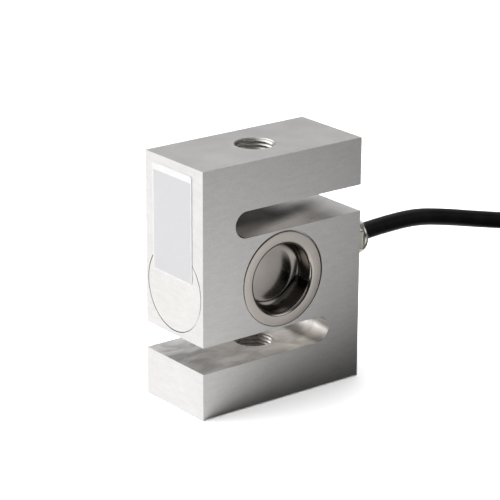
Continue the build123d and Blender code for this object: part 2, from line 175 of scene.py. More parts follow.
# Shrink sleeve: distances from its far end and radii, in millimetres, and the stripped cores that
# come out of it: their circle in the sleeve, places in the fan and the run between them
SLEEVE_MIDDLE = (sleeve_low + sleeve_high) / 2
SLEEVE_RINGS = (
    (6.2, 2.34), (0.0, 2.34), (0.02, 2.52), (0.35, 2.68), (0.9, 2.75), (3.0, 2.72), (6.0, 2.74),
    (6.6, 2.68), (9.5, 2.64), (11.0, 2.58), (11.6, 2.46), (11.95, 2.25), (12.0, 1.95),
)
LEAD_RADIUS = 0.65 * MM
LEAD_CIRCLE = 1.45 * MM
LEAD_PLACES = (-2, -1, 1, 2, 0)
LEAD_FAN = 2.4 * MM
LEAD_INSET = 1.5 * MM
LEAD_STRAIGHT = 5.0 * MM
LEAD_SPLAY = 17.0 * MM
LEAD_REACH = 24.0 * MM
TINNED_LENGTH = 6.0 * MM

# Studio: light of the table round the block, by the turn about its front left corner from
# left round by the front, and by the reach from there, then light of the walls by height
CARD_GLOW = 1.35
CARD_LEVELS = (
    (0.0, 1.04), (0.06, 1.0), (0.10, 0.05), (0.22, 0.05), (0.29, 0.76), (0.361, 0.73), (0.394, 0.53),
    (0.417, 0.33), (0.444, 0.13), (0.469, 0.06), (0.5, 0.04), (0.56, 0.22), (0.65, 0.90), (0.75, 1.04),
)
CARD_REACH = ((0.35, 1.0), (0.5, 0.93), (0.6, 0.87), (0.67, 0.79), (0.8, 0.58), (1.0, 0.4))
WALL_GLOW = 2.0
WALL_FRONT = 0.1
WALL_WINDOW = 0.65
FRONT_WINDOW = 0.5
WALL_LEVELS = ((0.0, 0.01), (0.35, 0.02), (0.44, 0.54), (0.6, 0.76), (1.0, 0.9))

# Camera of the photograph: direction in degrees, place in metres, lens for a 36 mm sensor
CAMERA_AZIMUTH = -37.70
CAMERA_ELEVATION = 19.19
CAMERA_ROLL = 0.266
CAMERA_PLACE = (-0.3334, -0.4297, 0.2260)
CAMERA_LENS = 163.06


# Shader maths

class Value:
    """Socket of a finish. Sums, products and comparisons of values add Math nodes."""

    def __init__(self, finish, socket):
        self.finish = finish
        self.socket = socket

    def math(self, operation, *values):
        """Value of a Math node."""
        return self.finish.node("ShaderNodeMath", {"operation": operation}, *values)

    def __add__(self, other):
        return self.math("ADD", self, other)

    __radd__ = __add__

    def __sub__(self, other):
        return self.math("SUBTRACT", self, other)

    def __rsub__(self, other):
        return self.math("SUBTRACT", other, self)

    def __mul__(self, other):
        return self.math("MULTIPLY", self, other)

    __rmul__ = __mul__

    def __pow__(self, other):
        return self.math("POWER", self, other)

    def __lt__(self, other):
        return self.math("LESS_THAN", self, other)

    def __gt__(self, other):
        return self.math("GREATER_THAN", self, other)

    def __abs__(self):
        return self.math("ABSOLUTE", self)


class Shading:
    """Node tree whose nodes are added by their kind, settings and values."""

    def __init__(self, owner):
        owner.use_nodes = True
        self.owner = owner
        self.nodes = owner.node_tree.nodes
        self.links = owner.node_tree.links

    def join(self, value, socket):
        """Links a value to a socket, or writes a number or colour on it."""
        if isinstance(value, Value):
            self.links.new(value.socket, socket)
        elif socket.type == "RGBA" and len(value) == 3:
            socket.default_value = (*value, 1)
        else:
            socket.default_value = value

    def node(self, kind, settings, *values, output=None, **named):
        """Adds a node: its settings first, then its sockets in use, in order or by name."""
        node = self.nodes.new(kind)
        for name, value in settings.items():
            if name == "stops":
                self.stops(node.color_ramp, value)
            else:
                setattr(node, name, value)
        in_use = [socket for socket in node.inputs if socket.enabled]
        for value, socket in zip(values, in_use):
            self.join(value, socket)
        for name, value in named.items():
            self.join(value, node.inputs[name.replace("_", " ")])
        given = [socket for socket in node.outputs if socket.enabled and output in (None, socket.name)]
        return Value(self, given[0])

    def stops(self, ramp, stops):
        """Writes a ramp's stops, as places and grey levels or colours."""
        while len(ramp.elements) < len(stops):
            ramp.elements.new(0.5)
        for element, (place, colour) in zip(ramp.elements, stops):
            element.position = place
            element.color = (*colour, 1) if isinstance(colour, tuple) else (colour, colour, colour, 1)

    def place(self, scale=(1, 1, 1), centre=(0, 0, 0), turn=(0, 0, 0)):
        """Place on the object, in metres, from a centre and stretched by a scale."""
        here = self.node("ShaderNodeTexCoord", {}, output="Object")
        moved = self.node("ShaderNodeVectorMath", {"operation": "SUBTRACT"}, here, centre)
        return self.node("ShaderNodeMapping", {}, moved, Rotation=turn, Scale=scale)

    def parts(self, place):
        """The three coordinates of a place."""
        first = self.node("ShaderNodeSeparateXYZ", {}, place)
        return [Value(self, socket) for socket in first.socket.node.outputs]

    def point(self, *values):
        """Place made of three values."""
        return self.node("ShaderNodeCombineXYZ", {}, *values)

    def wave(self, value):
        """Sine of a value."""
        return self.node("ShaderNodeMath", {"operation": "SINE"}, value)

    def shade(self, colour, tone):
        """Colour made darker or lighter by a tone."""
        return self.node("ShaderNodeVectorMath", {"operation": "SCALE"}, colour, Scale=tone)

    def noise(self, place, scale, detail=3.0, roughness=0.5, distortion=0.0):
        """Soft noise at a place, about 0.5."""
        return self.node(
            "ShaderNodeTexNoise", {}, output="Fac",
            Vector=place, Scale=scale, Detail=detail, Roughness=roughness, Distortion=distortion,
        )

    def ramp(self, value, *stops):
        """Colour or grey level that follows a value through stops."""
        return self.node("ShaderNodeValToRGB", {"stops": stops}, value)

    def range(self, value, low, high, new_low, new_high):
        """Moves a value from one range to another, held at its ends."""
        return self.node("ShaderNodeMapRange", {}, value, low, high, new_low, new_high)

    def blend(self, share, first, second):
        """Mixes two colours by a share."""
        return self.node("ShaderNodeMix", {"data_type": "RGBA"}, share, first, second)

    def bump(self, height, strength, distance):
        """Relief of a height, in metres at full height."""
        return self.node("ShaderNodeBump", {}, Height=height, Strength=strength, Distance=distance)


class Finish(Shading):
    """Procedural finish of a piece. Its fixed qualities go on the shader's own sockets."""

    def __init__(self, name, **qualities):
        super().__init__(bpy.data.materials.new(name))
        self.material = self.owner
        self.shader = self.nodes["Principled BSDF"]
        self.paint(**qualities)

    def paint(self, **qualities):
        """Puts values or links on the shader's sockets, named with underscores."""
        for name, value in qualities.items():
            self.join(value, self.shader.inputs[name.replace("_", " ")])


# Finishes

def slot_marks(finish, base, roughness, tone, upper_shade_colour, lower_base, slot_roughness):
    """Marks of the sawn slots: painted shade deep in the upper one, a warmer colour deep in the lower one,
    smoother in their depth, with stains.

    The upper one has a band of painted dark reflection and the lower one's floor a streak of painted dark
    reflection, across the block."""
    x, y, z = finish.parts(finish.place(centre=(0, 0, WEB_MIDDLE)))
    inside = 0.05 * MM
    sawn = (abs(abs(z) - SLOT_RISE) < SLOT_GAP / 2 + 0.03 * MM) * (abs(y) < block_high.y - inside)
    sawn = sawn * (abs(x) < block_high.x - inside)
    lower = z < 0
    outward = x * (1 - 2 * lower)
    # Painted shade: share of the way into a slot, which blends in the upper slot's dark colour and the
    # lower slot's warmer one
    depth = sawn * finish.range(outward, 5 * MM, 17 * MM, 1.0, 0.0)
    base = finish.blend(depth, base, finish.blend(lower, upper_shade_colour, lower_base))
    roughness = roughness - (roughness - slot_roughness) * depth * (1 - 0.6 * lower)
    patches = finish.noise(finish.place(scale=(1, 1.6, 1)), 130.0, distortion=0.6)
    stains = finish.range(patches, 0.35, 0.65, -0.5, 0.5) * (0.12 + 0.4 * lower)
    # Painted dark reflection: a band in the upper slot that darkens its tone
    from_band = abs(y - DARK_BAND_SLOPE * x + DARK_BAND_SHIFT)
    painted_dark_band = finish.range(from_band, 0.6 * MM, 4.2 * MM, 0.64, 0.0)
    painted_dark_band = painted_dark_band * finish.range(x, 14 * MM, 24 * MM, 1.0, 0.0) * (1 - lower)
    # Painted dark reflection: a streak across the lower slot's floor
    painted_dark_streak = finish.range(abs(x - DARK_STREAK_PLACE), 0.4 * MM, 1.8 * MM, 0.5, 0.0) * (z < -SLOT_RISE)
    return base, roughness, (tone + sawn * stains) * (1 - sawn * (painted_dark_band + painted_dark_streak))


def satin_nickel(name, base, roughness, grain=2400.0, slots=None):
    """Nickel plate over machined steel: fine mottled grain, faint clouds and strokes, small specks.

    The block's finish also has the marks of its slots, with their painted shade and painted dark
    reflections, from their colours and roughness."""
    finish = Finish(name, Metallic=1.0)
    worn = tuple(0.78 * level for level in base)
    fine = finish.noise(finish.place(), grain, detail=3.0, roughness=0.6)
    clouds = finish.noise(finish.place(), 95.0, detail=4.0, roughness=0.55)
    strokes = finish.noise(finish.place(scale=(260, 260, 900)), 1.0, detail=3.0)
    specks = finish.range(finish.noise(finish.place(), 1500.0, detail=1.0), 0.70, 0.78, 0.0, 0.35)
    tone = 1 + 0.14 * (clouds - 0.5) + 0.18 * (strokes - 0.5) + 0.30 * (fine - 0.5)
    if slots:
        base, roughness, tone = slot_marks(finish, base, roughness, tone, *slots)
    finish.paint(
        Base_Color=finish.shade(finish.blend(specks, base, worn), tone),
        Roughness=roughness + 0.08 * (clouds - 0.5) + 0.06 * (fine - 0.5),
        Normal=finish.bump(fine, 0.22, 0.03 * MM),
    )
    return finish.material


def drawn_steel(name, base, roughness, middle):
    """Smooth drawn sheet with faint rings round its axis, along Y.

    Painted shade darkens it in its depth and low on the right of its wall."""
    finish = Finish(name, Metallic=1.0)
    x, y, z = finish.parts(finish.place(centre=middle))
    reach = (x * x + z * z) ** 0.5
    rings = finish.noise(finish.point(reach * 2600, y * 2600, 0.0), 1.0)
    haze = finish.noise(finish.place(), 200.0, detail=4.0)
    wall = (reach > 7.3 * MM) * (abs(y) < block_high.y - 0.7 * MM)
    # Painted shade on the wall, growing towards its low right
    painted_wall_shade = wall * finish.range(x - z, 4 * MM, 10 * MM, 0.0, 0.45)
    # Painted shade, darker deeper in the cup
    depth = finish.range(abs(y), 9.5 * MM, 11.2 * MM, 0.74, 1.0)
    tone = (depth + 0.24 * (haze - 0.5) + 0.06 * (rings - 0.5)) * (1 - painted_wall_shade)
    finish.paint(
        Base_Color=finish.shade(base, tone),
        Roughness=roughness + 0.10 * (haze - 0.5) + 0.06 * (rings - 0.5),
        Normal=finish.bump(rings, 0.06, 0.01 * MM),
    )
    return finish.material


def bright_nickel(name, base, roughness):
    """Bright plated brass with fine turning lines round an axis along X."""
    finish = Finish(name, Metallic=1.0)
    x = finish.parts(finish.place())[0]
    lines = finish.noise(finish.point(x * 9000, 0.0, 0.0), 1.0)
    haze = finish.noise(finish.place(), 420.0, detail=4.0)
    finish.paint(
        Base_Color=finish.shade(base, 1 + 0.14 * (haze - 0.5)),
        Roughness=roughness + 0.12 * (haze - 0.5) + 0.06 * (lines - 0.5),
        Normal=finish.bump(lines, 0.12, 0.02 * MM),
    )
    return finish.material


def label_foil(name):
    """White satin foil with one plain pale grey panel."""
    finish = Finish(name, Coat_Roughness=0.2)
    y, z = finish.parts(finish.place())[1:]
    inside = (y > label_low.y + LABEL_BORDER) * (y < label_high.y - LABEL_BORDER)
    inside = inside * (z > label_low.z + LABEL_BORDER) * (z < label_high.z - LABEL_STRIP)
    mottle = finish.noise(finish.place(), 900.0)
    white = finish.blend(mottle, (0.61, 0.61, 0.615), (0.65, 0.65, 0.65))
    grey = finish.blend(mottle, (0.455, 0.455, 0.465), (0.48, 0.48, 0.49))
    finish.paint(
        Base_Color=finish.blend(inside, white, grey),
        Coat_Weight=0.2 + 0.2 * mottle,
        Roughness=0.38 + 0.12 * (mottle - 0.5),
        Normal=finish.bump(finish.noise(finish.place(), 2600.0), 0.08, 0.02 * MM),
    )
    return finish.material


def dull_skin(name, tone, roughness, grain=1600.0, **qualities):
    """Matte jacket, rubber or moulded nylon: dull skin with a fine pebbled grain."""
    finish = Finish(name, **qualities)
    grit = finish.noise(finish.place(), grain)
    scuffs = finish.noise(finish.place(), grain / 8, detail=5.0, roughness=0.6)
    dark = tuple(0.7 * level for level in tone)
    pale = tuple(1.6 * level for level in tone)
    finish.paint(
        Base_Color=finish.blend(finish.range(scuffs, 0.35, 0.7, 0.0, 1.0), dark, pale),
        Roughness=roughness + 0.16 * (scuffs - 0.5) + 0.08 * (grit - 0.5),
        Normal=finish.bump(grit, 0.35, 0.04 * MM),
    )
    return finish.material


def insulation(name, tone):
    """Glossy extruded insulation with faint lengthwise streaks."""
    finish = Finish(name)
    streaks = finish.noise(finish.place(scale=(120, 2400, 2400)), 1.0)
    dark = tuple(0.8 * level for level in tone)
    finish.paint(
        Base_Color=finish.blend(streaks, dark, tone),
        Roughness=0.32 + 0.12 * (streaks - 0.5),
        Normal=finish.bump(streaks, 0.12, 0.03 * MM),
    )
    return finish.material


def bare_metal(name, dull, bright, roughness, grain=2000.0):
    """Tin, solder or copper, dulled in places."""
    finish = Finish(name, Metallic=1.0)
    haze = finish.noise(finish.place(), grain, detail=4.0)
    finish.paint(
        Base_Color=finish.blend(haze, dull, bright),
        Roughness=roughness + 0.2 * (haze - 0.5),
        Normal=finish.bump(haze, 0.2, 0.04 * MM),
    )
    return finish.material


def gauge_film(name):
    """Amber film with the fine metal grid of a strain gauge."""
    finish = Finish(name, Coat_Roughness=0.1)
    x, y = finish.parts(finish.place())[:2]
    lines = finish.range(finish.wave(x * 5200), -0.2, 0.2, 0.0, 1.0)
    grid = lines * (abs(y) < 2.2 * MM)
    mottle = finish.noise(finish.place(), 1200.0)
    film = finish.blend(mottle, (0.62, 0.33, 0.07), (0.78, 0.47, 0.14))
    finish.paint(
        Base_Color=finish.blend(grid, film, (0.5, 0.47, 0.42)),
        Metallic=grid * 0.8,
        Roughness=0.35 + 0.1 * (mottle - 0.5),
        Normal=finish.bump(lines, 0.1, 0.02 * MM),
    )
    return finish.material


def board_lacquer(name):
    """Green lacquer over copper tracks."""
    finish = Finish(name, Coat_Roughness=0.12)
    y, z = finish.parts(finish.place())[1:]
    tracks = finish.range(finish.wave((y + 0.35 * z) * 2400), 0.35, 0.5, 0.0, 1.0)
    weave = finish.noise(finish.place(), 3000.0, detail=2.0)
    bare = finish.blend(weave, (0.01, 0.10, 0.035), (0.015, 0.15, 0.05))
    finish.paint(
        Base_Color=finish.blend(tracks, bare, (0.05, 0.28, 0.10)),
        Coat_Weight=0.4 + 0.3 * weave,
        Roughness=0.35 + 0.1 * (weave - 0.5),
        Normal=finish.bump(tracks * 0.8 + weave * 0.2, 0.3, 0.04 * MM),
    )
    return finish.material


def chip_ceramic(name):
    """Black resistor chips with tinned ends."""
    finish = Finish(name)
    y = finish.parts(finish.place())[1]
    ends = abs(y) > 1.15 * MM
    grit = finish.noise(finish.place(), 4000.0)
    black = finish.blend(grit, (0.02, 0.02, 0.022), (0.05, 0.05, 0.052))
    finish.paint(
        Base_Color=finish.blend(ends, black, (0.7, 0.7, 0.7)),
        Metallic=ends,
        Roughness=0.4 + 0.2 * (grit - 0.5),
    )
    return finish.material


def dress(piece, material):
    """Gives a piece one finish all over."""
    piece.data.materials.clear()
    piece.data.materials.append(material)


# Shaping

def stand_in(piece, *nodes):
    """Fixes a piece to the block's body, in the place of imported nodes."""
    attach(piece, "root")
    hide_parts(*nodes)


def choose(piece):
    """Leaves one piece selected and active."""
    bpy.ops.object.select_all(action="DESELECT")
    piece.select_set(True)
    bpy.context.view_layer.objects.active = piece


def added(name):
    """Names the primitive that was just added and moves its place into its mesh."""
    piece = bpy.context.object
    piece.name = name
    bpy.ops.object.transform_apply(location=True, rotation=True, scale=True)
    return piece


def plain_block(name, centre, size):
    """Rectangular block at its place."""
    bpy.ops.object.select_all(action="DESELECT")
    bpy.ops.mesh.primitive_cube_add(size=1, location=centre, scale=size)
    return added(name)


def turned_form(name, base, axis, rings, sides=96):
    """Turned piece: a disc drawn out ring by ring, each a distance along the axis and a radius."""
    bpy.ops.object.select_all(action="DESELECT")
    along, radius = rings[0]
    bpy.ops.mesh.primitive_circle_add(
        vertices=sides, radius=radius, fill_type="NGON",
        location=base + axis * along, rotation=axis.to_track_quat("Z", "Y").to_euler(),
    )
    piece = added(name)
    bpy.ops.object.mode_set(mode="EDIT")
    bpy.ops.mesh.select_all(action="SELECT")
    for (last_along, last_radius), (along, radius) in zip(rings, rings[1:]):
        shift = axis * (along - last_along)
        bpy.ops.mesh.extrude_region_move(TRANSFORM_OT_translate={"value": shift})
        ratio = radius / last_radius
        bpy.ops.transform.resize(value=(ratio, ratio, ratio), center_override=base + axis * along)
    bpy.ops.object.mode_set(mode="OBJECT")
    return piece


def round_edges(piece, chosen, width, segments=8):
    """Rounds the edges that a test on the places of both ends chooses."""
    choose(piece)
    bpy.ops.object.mode_set(mode="EDIT")
    bpy.ops.mesh.select_mode(type="EDGE")
    bpy.ops.mesh.select_all(action="DESELECT")
    form = bmesh.from_edit_mesh(piece.data)
    for edge in form.edges:
        edge.select_set(chosen(*(corner.co for corner in edge.verts)))
    bmesh.update_edit_mesh(piece.data)
    bpy.ops.mesh.bevel(offset=width, segments=segments, affect="EDGES")
    bpy.ops.object.mode_set(mode="OBJECT")


def round_ring(piece, base, axis, ring, width):
    """Rounds one ring of a turned piece."""
    along, radius = ring

    def on_ring(place):
        offset = place - base
        out = (offset - axis * offset.dot(axis)).length
        return abs(offset.dot(axis) - along) < 0.01 * MM and abs(out - radius) < 0.02 * MM

    round_edges(piece, lambda start, end: on_ring(start) and on_ring(end), width)


def cut(piece, tool, operation="DIFFERENCE"):
    """Cuts a piece with a tool, or keeps what both share, and takes the tool away."""
    choose(piece)
    change = piece.modifiers.new("cut", "BOOLEAN")
    change.operation = operation
    change.solver = "EXACT"
    change.object = tool
    bpy.ops.object.modifier_apply(modifier=change.name)
    bpy.data.objects.remove(tool, do_unlink=True)


def soften(piece, width, segments=3, angle=30):
    """Rounds a piece's sharp edges."""
    choose(piece)
    change = piece.modifiers.new("round", "BEVEL")
    change.width = width
    change.segments = segments
    change.limit_method = "ANGLE"
    change.angle_limit = radians(angle)
    change.use_clamp_overlap = True
    bpy.ops.object.modifier_apply(modifier=change.name)


def finished(piece, material, angle=32):
    """Closes a piece's seams, points its faces outward, smooths its curves and dresses it."""
    choose(piece)
    bpy.ops.object.mode_set(mode="EDIT")
    bpy.ops.mesh.select_all(action="SELECT")
    bpy.ops.mesh.remove_doubles(threshold=0.002 * MM)
    bpy.ops.mesh.normals_make_consistent(inside=False)
    bpy.ops.object.mode_set(mode="OBJECT")
    bpy.ops.object.shade_smooth_by_angle(angle=radians(angle))
    dress(piece, material)
    return piece


def smooth_lines(name, lines, diameter, steps, rounding):
    """Curve piece of smooth open lines, each given by its control points, as thick as a wire."""
    curve = bpy.data.curves.new(name, "CURVE")
    curve.dimensions = "3D"
    curve.resolution_u = steps
    curve.bevel_depth = diameter / 2
    curve.bevel_resolution = rounding
    curve.use_fill_caps = diameter > 0
    for points in lines:
        spline = curve.splines.new("NURBS")
        spline.points.add(len(points) - 1)
        for point, place in zip(spline.points, points):
            point.co = (*place, 1)
        spline.order_u = 3
        spline.use_endpoint_u = True
    piece = bpy.data.objects.new(name, curve)
    bpy.context.scene.collection.objects.link(piece)
    return piece


def rod(name, points, diameter, material):
    """Round wire or cable along a smooth line."""
    piece = smooth_lines(name, [points], diameter, 6, 6)
    dress(piece, material)
    return piece


# Pieces

def coil_turns():
    """Radius, height and row of each turn, from the top row's inner turn down to the floor's outer one."""
    turns = []
    for row in range(COIL_ROWS - 1, -1, -1):
        columns = (1, 0, -1) if row % 2 else (-1.5, -0.5, 0.5, 1.5)
        height = COIL_FLOOR + row * CABLE * sqrt(3) / 2
        turns += [(COIL_RADIUS + column * CABLE, height, row) for column in columns]
    return turns


def coil_points():
    """Control points of the coil, clockwise, with all its crossovers in one short stretch."""
    turns = coil_turns()
    points = []
    for step in range(int(COIL_DEGREES / COIL_STEP) + 1):
        turned = step * COIL_STEP
        crossing = round((turned - CROSSOVER) / 360)
        past = turned - CROSSOVER - 360 * crossing
        share = min(max(past / CROSSOVER_LENGTH + 0.5, 0), 1)
        share = share * share * (3 - 2 * share)
        before, after = (turns[min(max(crossing + more, 0), len(turns) - 1)] for more in (0, 1))
        radius, height, row = (
            (1 - share) * first + share * second for first, second in zip(before, after)
        )
        if abs(past) < CROSSOVER_LENGTH / 2:
            height += CROSSOVER_HUMP * CABLE * row * cos(pi * past / CROSSOVER_LENGTH) ** 2
        radius /= cos(radians(COIL_STEP / 2))
        angle = radians(90 - turned)
        points.append(COIL_CENTRE + Vector((radius * cos(angle), radius * sin(angle), height)))
    return points


def signal_cable(material):
    """The 3 m cable in one piece: out of the gland, over to the coil, round it and into the sleeve."""
    coil = coil_points()
    tail = [Vector(point) * MM for point in CABLE_TAIL]
    start = [Vector(point) * MM for point in CABLE_START]
    cable = rod("cable", start + coil[1:] + tail, CABLE, material)
    stand_in(cable, "signal_cable", "cable_coil")
    return cable


def sawn_slot(block, middle, side):
    """Saws a slot with a full-radius end, open on one side."""
    tip, mouth = -side * (block_high.x - SLOT_END_WALL), side * (block_high.x + 2 * MM)
    across = block_high.y - block_low.y + 6 * MM
    tool = plain_block("saw", ((tip + mouth) / 2, 0, middle), (abs(mouth - tip), across, SLOT_GAP))

    def at_tip(start, end):
        return max(abs(start.x - tip), abs(end.x - tip), abs(start.z - end.z)) < 0.1 * MM

    round_edges(tool, at_tip, SLOT_GAP / 2 - 0.001 * MM, 14)
    cut(block, tool)


def bore(piece, base, axis, rings, sides=96):
    """Bores a stepped hole along an axis, from rings of a distance and a radius each."""
    cut(piece, turned_form("drill", base, axis, rings, sides))


def beam_block(material):
    """S-shaped block: sawn slots, broken edges, load threads, gauge bore, cover pocket and gland hole."""
    size = block_high - block_low
    block = plain_block("beam_block", (block_low + block_high) / 2, size)
    sawn_slot(block, WEB_MIDDLE - SLOT_RISE, -1)
    sawn_slot(block, WEB_MIDDLE + SLOT_RISE, 1)
    soften(block, EDGE_BREAK, 2, 40)
    mouth = THREAD_RADIUS + THREAD_LEAD_IN
    for start in (0, block_high.z - ARM):
        bore(block, UP * start, UP, [
            (-MM, mouth), (0, mouth), (THREAD_LEAD_IN, THREAD_RADIUS),
            (ARM - THREAD_LEAD_IN, THREAD_RADIUS), (ARM, mouth), (ARM + MM, mouth),
        ])
    bore(block, Vector((0, block_low.y, WEB_MIDDLE)), BACK, [
        (-MM, CUP_SEAT_RADIUS), (CUP_SEAT_DEPTH, CUP_SEAT_RADIUS), (CUP_SEAT_DEPTH, BORE_RADIUS),
        (size.y - CUP_SEAT_DEPTH, BORE_RADIUS), (size.y - CUP_SEAT_DEPTH, CUP_SEAT_RADIUS),
        (size.y + MM, CUP_SEAT_RADIUS),
    ], 128)
    bore(block, Vector((block_low.x, 0, COVER_MIDDLE)), RIGHT, [
        (-MM, COVER_SEAT_RADIUS), (COVER_SEAT_DEPTH, COVER_SEAT_RADIUS),
        (COVER_SEAT_DEPTH, BOARD_SEAT_RADIUS), (BOARD_SEAT_DEPTH, BOARD_SEAT_RADIUS),
        (BOARD_SEAT_DEPTH, POCKET_RADIUS), (POCKET_DEPTH, POCKET_RADIUS),
        (POCKET_DEPTH, WIRE_HOLE_RADIUS), (size.x / 2, WIRE_HOLE_RADIUS),
    ], 128)
    bore(block, Vector((block_high.x, 0, GLAND_MIDDLE)), -RIGHT, [
        (-MM, GLAND_HOLE_RADIUS), (GLAND_HOLE_DEPTH, GLAND_HOLE_RADIUS),
        (GLAND_HOLE_DEPTH, CABLE_HOLE_RADIUS), (size.x / 2, CABLE_HOLE_RADIUS),
    ])
    stand_in(finished(block, material, 20), "beam_body")


def seal_cup(node, side, material):
    """Deep-drawn sealing cup with a flat flange, a rolled lip and a rounded floor."""
    base = Vector((0, side * block_high.y, WEB_MIDDLE - CUP_DROP))
    axis = Vector((0, -side, 0))
    seat, floor = CUP_RECESS + CUP_SHEET, CUP_RECESS + CUP_DEPTH
    outside = CUP_RADIUS + CUP_SHEET
    dome = [
        (floor - CUP_DOME * (1 - share * share), share * (CUP_RADIUS - CUP_FLOOR_ROUND))
        for share in (0.9, 0.75, 0.6, 0.45, 0.3, 0.15, 0.05)
    ]
    rounds = {
        (floor + CUP_SHEET, outside): CUP_FLOOR_ROUND + CUP_SHEET,
        (seat, outside): CUP_SHEET,
        (seat, CUP_FLANGE_RADIUS): 0,
        (CUP_RECESS, CUP_FLANGE_RADIUS): CUP_RIM_ROUND,
        (CUP_RECESS, CUP_RADIUS): CUP_LIP_ROUND,
        (floor, CUP_RADIUS): CUP_FLOOR_ROUND,
    }
    cup = turned_form(node + "_drawn", base, axis, [*rounds, *dome], sides=128)
    for ring, width in rounds.items():
        if width:
            round_ring(cup, base, axis, ring, width)
    stand_in(finished(cup, material), node)


def thread_ridges(name, start, material):
    """Ridges of a load thread, wound up from a height at the back of its hole."""
    middle = THREAD_RADIUS - RIDGE_HEIGHT / 2
    bpy.ops.object.select_all(action="DESELECT")
    bpy.ops.mesh.primitive_plane_add(
        size=THREAD_PITCH, location=(0, middle, start), rotation=(pi / 2, 0, pi / 2)
    )
    ridge = added(name)
    form = bmesh.new()
    form.from_mesh(ridge.data)
    for corner in form.verts:
        crest = corner.co.y < middle
        corner.co.y = THREAD_RADIUS - (RIDGE_HEIGHT if crest else -RIDGE_ROOT)
        corner.co.z = start + (corner.co.z - start) * (CREST_SHARE if crest else ROOT_SHARE)
    form.to_mesh(ridge.data)
    form.free()
    choose(ridge)
    screw = ridge.modifiers.new("turns", "SCREW")
    screw.screw_offset = THREAD_PITCH
    screw.iterations = RIDGE_TURNS
    screw.steps = screw.render_steps = 48
    screw.use_merge_vertices = False
    bpy.ops.object.modifier_apply(modifier=screw.name)
    bpy.ops.object.mode_set(mode="EDIT")
    bpy.ops.mesh.select_all(action="SELECT")
    bpy.ops.mesh.fill_holes(sides=4)
    bpy.ops.object.mode_set(mode="OBJECT")
    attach(finished(ridge, material), "root")


def hexagon(name, start, end, rounded):
    """Spanner hexagon along the gland's axis, one corner to the front, with its ends turned round."""
    corner, over = gland_high.y, 0.1 * MM
    bpy.ops.object.select_all(action="DESELECT")
    bpy.ops.mesh.primitive_cylinder_add(
        vertices=6, radius=HEX_FLATS / 2 / cos(radians(30)), depth=end - start,
        location=((start + end) / 2, 0, GLAND_MIDDLE), rotation=(pi / 2, 0, pi / 2),
    )
    blank = added(name)
    arc = [
        (end - rounded + rounded * sin(radians(angle)), corner - rounded + rounded * cos(radians(angle)))
        for angle in range(15, 90, 15)
    ]
    rings = [
        (start - over, corner - HEX_HEEL), (start, corner - HEX_HEEL), (start + HEX_HEEL, corner),
        (end - rounded, corner), *arc, (end, corner - rounded), (end + over, corner - rounded),
    ]
    cut(blank, turned_form("turning", GLAND_CENTRE, RIGHT, rings, sides=128), "INTERSECT")
    return blank


def bored(piece, start, end, radius):
    """Bores a piece along the gland's axis."""
    bore(piece, GLAND_CENTRE, RIGHT, [(start, radius), (end, radius)])


def gland_nut(material):
    """Hexagon nut with a round rim at its end."""
    nut = hexagon("gland_nut_turned", nut_low.x, nut_high.x, NUT_ROUND)
    rim = [(nut_high.x + along * MM, gland_high.y + reach * MM) for along, reach in NUT_RIM]
    cut(nut, turned_form("rim", GLAND_CENTRE, RIGHT, rim), "UNION")
    bored(nut, nut_low.x - MM, nut_high.x - NUT_LIP, NECK_RADIUS + NECK_GAP)
    bored(nut, nut_low.x, nut_high.x + MM, CABLE_RADIUS + CABLE_GAP)
    soften(nut, 0.1 * MM)
    stand_in(finished(nut, material, 40), "gland_nut")


def gland_body(material):
    """Gland body: threaded shank, hexagon collar and neck."""
    collar_start, collar_end = block_high.x + WASHER_THICKNESS, nut_low.x - NUT_GAP
    body = hexagon("gland_body_turned", collar_start, collar_end, HEX_HEEL)
    cut(body, turned_form("shank", GLAND_CENTRE, RIGHT, [
        (gland_low.x, NECK_RADIUS), (gland_low.x + 0.4 * MM, SHANK_RADIUS), (SHANK_END, SHANK_RADIUS),
        (SHANK_END, NECK_RADIUS), (gland_high.x - 0.25 * MM, NECK_RADIUS),
        (gland_high.x, NECK_RADIUS - 0.25 * MM),
    ]), "UNION")
    seal_low, seal_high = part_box("gland_seal")
    bored(body, seal_low.x, gland_high.x + MM, (seal_high.z - seal_low.z) / 2)
    bored(body, gland_low.x - MM, gland_high.x, CABLE_RADIUS + CABLE_GAP)
    soften(body, 0.08 * MM)
    stand_in(finished(body, material, 40), "gland_body")


def cable_tie(node, angle, material):
    """Nylon tie round the coil: a band, with its locking head and trimmed tail on top."""
    low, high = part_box(node)
    middle, tall = (low.z + high.z) / 2, high.z - low.z

    def across(start, end):
        return abs(start.y - end.y) > 3 * MM

    band = plain_block(node + "_band", (0, 0, middle), (2 * TIE_REACH, TIE_WIDTH, tall))
    round_edges(band, across, TIE_CORNER)
    hollow = plain_block("hollow", (0, 0, middle), (
        2 * (TIE_REACH - TIE_THICKNESS), TIE_WIDTH + 2 * MM, tall - 2 * TIE_THICKNESS,
    ))
    round_edges(hollow, across, TIE_CORNER - TIE_THICKNESS)
    cut(band, hollow)
    head = plain_block("head", (1.5 * MM, 0, high.z + 1.0 * MM), TIE_HEAD)
    soften(head, 0.4 * MM)
    tail = plain_block("tail", (2.1 * MM, 0, high.z + 1.1 * MM), TIE_TAIL)
    cut(band, head, "UNION")
    cut(band, tail, "UNION")
    soften(band, 0.15 * MM, 2)
    choose(band)
    turn = Matrix.Rotation(radians(angle), 4, "Z")
    middle_of_turns = Vector((COIL_CENTRE.x, COIL_CENTRE.y, 0)) + turn @ (RIGHT * COIL_RADIUS)
    band.matrix_world = Matrix.Translation(middle_of_turns) @ turn
    bpy.ops.object.transform_apply(location=True, rotation=True, scale=True)
    stand_in(finished(band, material, 40), node)
    return band


